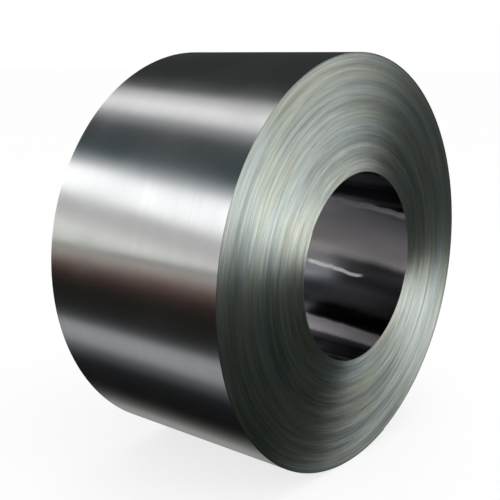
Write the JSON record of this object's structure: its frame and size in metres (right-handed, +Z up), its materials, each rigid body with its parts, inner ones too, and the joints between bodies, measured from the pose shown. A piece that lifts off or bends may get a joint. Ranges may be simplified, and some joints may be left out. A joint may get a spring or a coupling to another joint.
{
  "type": "nickel alloy strip coil",
  "caption": "Coil of thin bright nickel alloy strip wound on itself, lying on its side, with a round open bore and finely stepped ends of strip edges.",
  "frame": {"origin": "on the floor, under the middle of the coil", "axes": "+X along the coil's axis, out of the end that stands proud at the bore; +Y horizontal, across the coil; +Z up"},
  "size_m": [0.586, 1.124, 1.124],
  "materials": {
    "nickel_strip": "bright cold rolled strip, mirror-like on the wraps and finely lined on the slit edges"
  },
  "bodies": {
    "root": {"strip_coil": "nickel_strip"}
  },
  "joints": []
}
